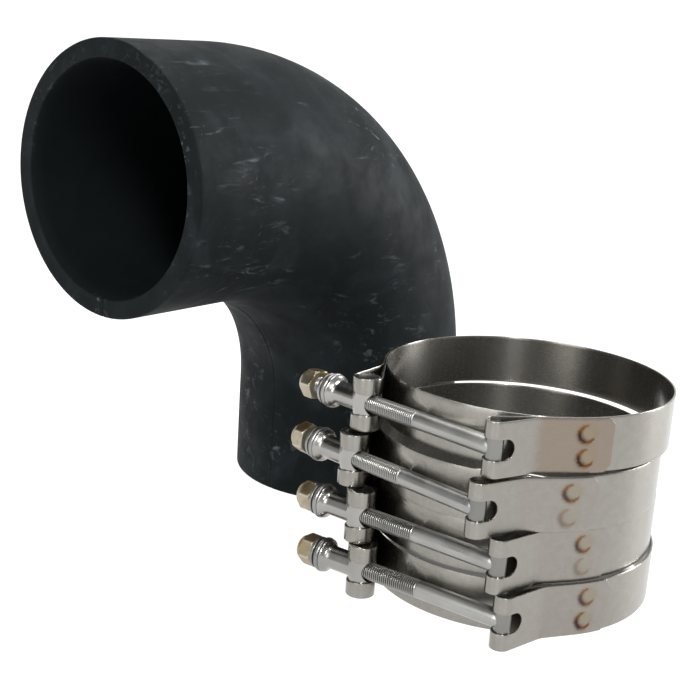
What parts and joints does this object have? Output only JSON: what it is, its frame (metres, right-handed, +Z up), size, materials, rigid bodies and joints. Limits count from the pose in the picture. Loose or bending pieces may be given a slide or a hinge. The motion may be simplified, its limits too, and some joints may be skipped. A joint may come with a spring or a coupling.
{
  "type": "pipe coupling elbow with band clamps",
  "caption": "Rubber right-angle pipe coupling elbow standing on one port, with loose T-bolt band clamps piled beside it.",
  "frame": {"origin": "centre of the elbow's lower port, on the surface that the port and the lowest clamp stand on", "axes": "+Z up the standing leg; +X out of the upper port; the clamps are piled on the +Y side"},
  "size_m": [0.2363, 0.2676, 0.2323],
  "materials": {
    "rubber": "satin moulded black rubber with a grey bloom",
    "strap": "bright rolled stainless strap with heat tint at the spot welds",
    "bridge": "bright rolled stainless strip",
    "bolt": "dull grey stainless bar with a rolled thread",
    "trunnion": "polished drawn stainless",
    "washer": "satin stainless",
    "nut": "steel with yellow passivated zinc",
    "nylon": "off-white nylon"
  },
  "bodies": {
    "elbow": {"elbow": "rubber"},
    "c1_band": {"c1_strap_bolt_side": "strap", "c1_bridge": "bridge"},
    "c1_band_nut_side": {"c1_strap_nut_side": "strap"},
    "c1_t_bolt": {"c1_t_bolt": "bolt"},
    "c1_trunnion": {"c1_trunnion": "trunnion"},
    "c1_washers": {"c1_cup_washer": "washer", "c1_flat_washer": "washer"},
    "c1_nut": {"c1_nut": "nut", "c1_nut_insert": "nylon"},
    "c2_band": {"c2_strap_bolt_side": "strap", "c2_bridge": "bridge"},
    "c2_band_nut_side": {"c2_strap_nut_side": "strap"},
    "c2_t_bolt": {"c2_t_bolt": "bolt"},
    "c2_trunnion": {"c2_trunnion": "trunnion"},
    "c2_washers": {"c2_cup_washer": "washer", "c2_flat_washer": "washer"},
    "c2_nut": {"c2_nut": "nut", "c2_nut_insert": "nylon"},
    "c3_band": {"c3_strap_bolt_side": "strap", "c3_bridge": "bridge"},
    "c3_band_nut_side": {"c3_strap_nut_side": "strap"},
    "c3_t_bolt": {"c3_t_bolt": "bolt"},
    "c3_trunnion": {"c3_trunnion": "trunnion"},
    "c3_washers": {"c3_cup_washer": "washer", "c3_flat_washer": "washer"},
    "c3_nut": {"c3_nut": "nut", "c3_nut_insert": "nylon"},
    "c4_band": {"c4_strap_bolt_side": "strap", "c4_bridge": "bridge"},
    "c4_band_nut_side": {"c4_strap_nut_side": "strap"},
    "c4_t_bolt": {"c4_t_bolt": "bolt"},
    "c4_trunnion": {"c4_trunnion": "trunnion"},
    "c4_washers": {"c4_cup_washer": "washer", "c4_flat_washer": "washer"},
    "c4_nut": {"c4_nut": "nut", "c4_nut_insert": "nylon"}
  },
  "joints": [
    {"name": "c1_lift", "type": "slide", "parent": "elbow", "child": "c1_band", "axis": [0, 0.8, 0.6], "range_m": [0, 0.06]},
    {"name": "c1_band_close", "type": "hinge", "parent": "c1_band", "child": "c1_band_nut_side", "pos_m": [-0.01597, 0.13752, 0.01185], "axis": [0, 0, 1], "range_deg": [0, 11.89], "deforming": ["c1_bridge"]},
    {"name": "c1_bolt_swivel", "type": "hinge", "parent": "c1_band", "child": "c1_t_bolt", "pos_m": [0.11507, 0.18157, 0.01185], "axis": [0, 0, 1], "range_deg": [0, 5.95]},
    {"name": "c1_trunnion_swivel", "type": "hinge", "parent": "c1_band_nut_side", "child": "c1_trunnion", "pos_m": [0.11965, 0.11071, 0.01185], "axis": [0, 0, 1], "range_deg": [-5.95, 0]},
    {"name": "c1_nut_travel", "type": "slide", "parent": "c1_t_bolt", "child": "c1_washers", "axis": [-0.0645, 0.9979, 0], "range_m": [0, 0.02806]},
    {"name": "c1_nut_turn", "type": "hinge", "parent": "c1_washers", "child": "c1_nut", "pos_m": [0.12139, 0.08377, 0.01185], "axis": [-0.0645, 0.9979, 0], "range_deg": [0, 9524.41]},
    {"name": "c2_lift", "type": "slide", "parent": "c1_band", "child": "c2_band", "axis": [0, 0.8, 0.6], "range_m": [0, 0.06]},
    {"name": "c2_band_close", "type": "hinge", "parent": "c2_band", "child": "c2_band_nut_side", "pos_m": [-0.01698, 0.138, 0.0357], "axis": [0, 0, 1], "range_deg": [0, 11.89], "deforming": ["c2_bridge"]},
    {"name": "c2_bolt_swivel", "type": "hinge", "parent": "c2_band", "child": "c2_t_bolt", "pos_m": [0.11565, 0.17699, 0.0357], "axis": [0, 0, 1], "range_deg": [0, 5.95]},
    {"name": "c2_trunnion_swivel", "type": "hinge", "parent": "c2_band_nut_side", "child": "c2_trunnion", "pos_m": [0.11751, 0.10601, 0.0357], "axis": [0, 0, 1], "range_deg": [-5.95, 0]},
    {"name": "c2_nut_travel", "type": "slide", "parent": "c2_t_bolt", "child": "c2_washers", "axis": [-0.0262, 0.9997, 0], "range_m": [0, 0.02806]},
    {"name": "c2_nut_turn", "type": "hinge", "parent": "c2_washers", "child": "c2_nut", "pos_m": [0.11821, 0.07902, 0.0357], "axis": [-0.0262, 0.9997, 0], "range_deg": [0, 9524.41]},
    {"name": "c3_lift", "type": "slide", "parent": "c2_band", "child": "c3_band", "axis": [0, 0.8, 0.6], "range_m": [0, 0.06]},
    {"name": "c3_band_close", "type": "hinge", "parent": "c3_band", "child": "c3_band_nut_side", "pos_m": [-0.01407, 0.14715, 0.05955], "axis": [0, 0, 1], "range_deg": [0, 11.89], "deforming": ["c3_bridge"]},
    {"name": "c3_bolt_swivel", "type": "hinge", "parent": "c3_band", "child": "c3_t_bolt", "pos_m": [0.12244, 0.16897, 0.05955], "axis": [0, 0, 1], "range_deg": [0, 5.95]},
    {"name": "c3_trunnion_swivel", "type": "hinge", "parent": "c3_band_nut_side", "child": "c3_trunnion", "pos_m": [0.11526, 0.09833, 0.05955], "axis": [0, 0, 1], "range_deg": [-5.95, 0]},
    {"name": "c3_nut_travel", "type": "slide", "parent": "c3_t_bolt", "child": "c3_washers", "axis": [0.1011, 0.9949, 0], "range_m": [0, 0.02806]},
    {"name": "c3_nut_turn", "type": "hinge", "parent": "c3_washers", "child": "c3_nut", "pos_m": [0.11253, 0.07147, 0.05955], "axis": [0.1011, 0.9949, 0], "range_deg": [0, 9524.41]},
    {"name": "c4_lift", "type": "slide", "parent": "c3_band", "child": "c4_band", "axis": [0, 0.8, 0.6], "range_m": [0, 0.06]},
    {"name": "c4_band_close", "type": "hinge", "parent": "c4_band", "child": "c4_band_nut_side", "pos_m": [-0.01925, 0.14695, 0.08341], "axis": [-0.0087, 0, 1], "range_deg": [0, 11.89], "deforming": ["c4_bridge"]},
    {"name": "c4_bolt_swivel", "type": "hinge", "parent": "c4_band", "child": "c4_t_bolt", "pos_m": [0.11693, 0.17067, 0.0846], "axis": [-0.0087, 0, 1], "range_deg": [0, 5.95]},
    {"name": "c4_trunnion_swivel", "type": "hinge", "parent": "c4_band_nut_side", "child": "c4_trunnion", "pos_m": [0.11074, 0.09994, 0.08454], "axis": [-0.0087, 0, 1], "range_deg": [-5.95, 0]},
    {"name": "c4_nut_travel", "type": "slide", "parent": "c4_t_bolt", "child": "c4_washers", "axis": [0.0872, 0.9962, 0.0008], "range_m": [0, 0.02806]},
    {"name": "c4_nut_turn", "type": "hinge", "parent": "c4_washers", "child": "c4_nut", "pos_m": [0.10838, 0.07304, 0.08452], "axis": [0.0872, 0.9962, 0.0008], "range_deg": [0, 9524.41]}
  ],
  "couplings": [
    {"joint": "c1_nut_travel", "follows": "c1_nut_turn", "m_per_rad": 0.00016844},
    {"joint": "c1_band_close", "follows": "c1_nut_turn", "ratio": 0.0012459},
    {"joint": "c1_bolt_swivel", "follows": "c1_nut_turn", "ratio": 0.00062294},
    {"joint": "c1_trunnion_swivel", "follows": "c1_nut_turn", "ratio": -0.00062294},
    {"joint": "c2_nut_travel", "follows": "c2_nut_turn", "m_per_rad": 0.00016844},
    {"joint": "c2_band_close", "follows": "c2_nut_turn", "ratio": 0.0012459},
    {"joint": "c2_bolt_swivel", "follows": "c2_nut_turn", "ratio": 0.00062294},
    {"joint": "c2_trunnion_swivel", "follows": "c2_nut_turn", "ratio": -0.00062294},
    {"joint": "c3_nut_travel", "follows": "c3_nut_turn", "m_per_rad": 0.00016844},
    {"joint": "c3_band_close", "follows": "c3_nut_turn", "ratio": 0.0012459},
    {"joint": "c3_bolt_swivel", "follows": "c3_nut_turn", "ratio": 0.00062294},
    {"joint": "c3_trunnion_swivel", "follows": "c3_nut_turn", "ratio": -0.00062294},
    {"joint": "c4_nut_travel", "follows": "c4_nut_turn", "m_per_rad": 0.00016844},
    {"joint": "c4_band_close", "follows": "c4_nut_turn", "ratio": 0.0012459},
    {"joint": "c4_bolt_swivel", "follows": "c4_nut_turn", "ratio": 0.00062294},
    {"joint": "c4_trunnion_swivel", "follows": "c4_nut_turn", "ratio": -0.00062294}
  ]
}
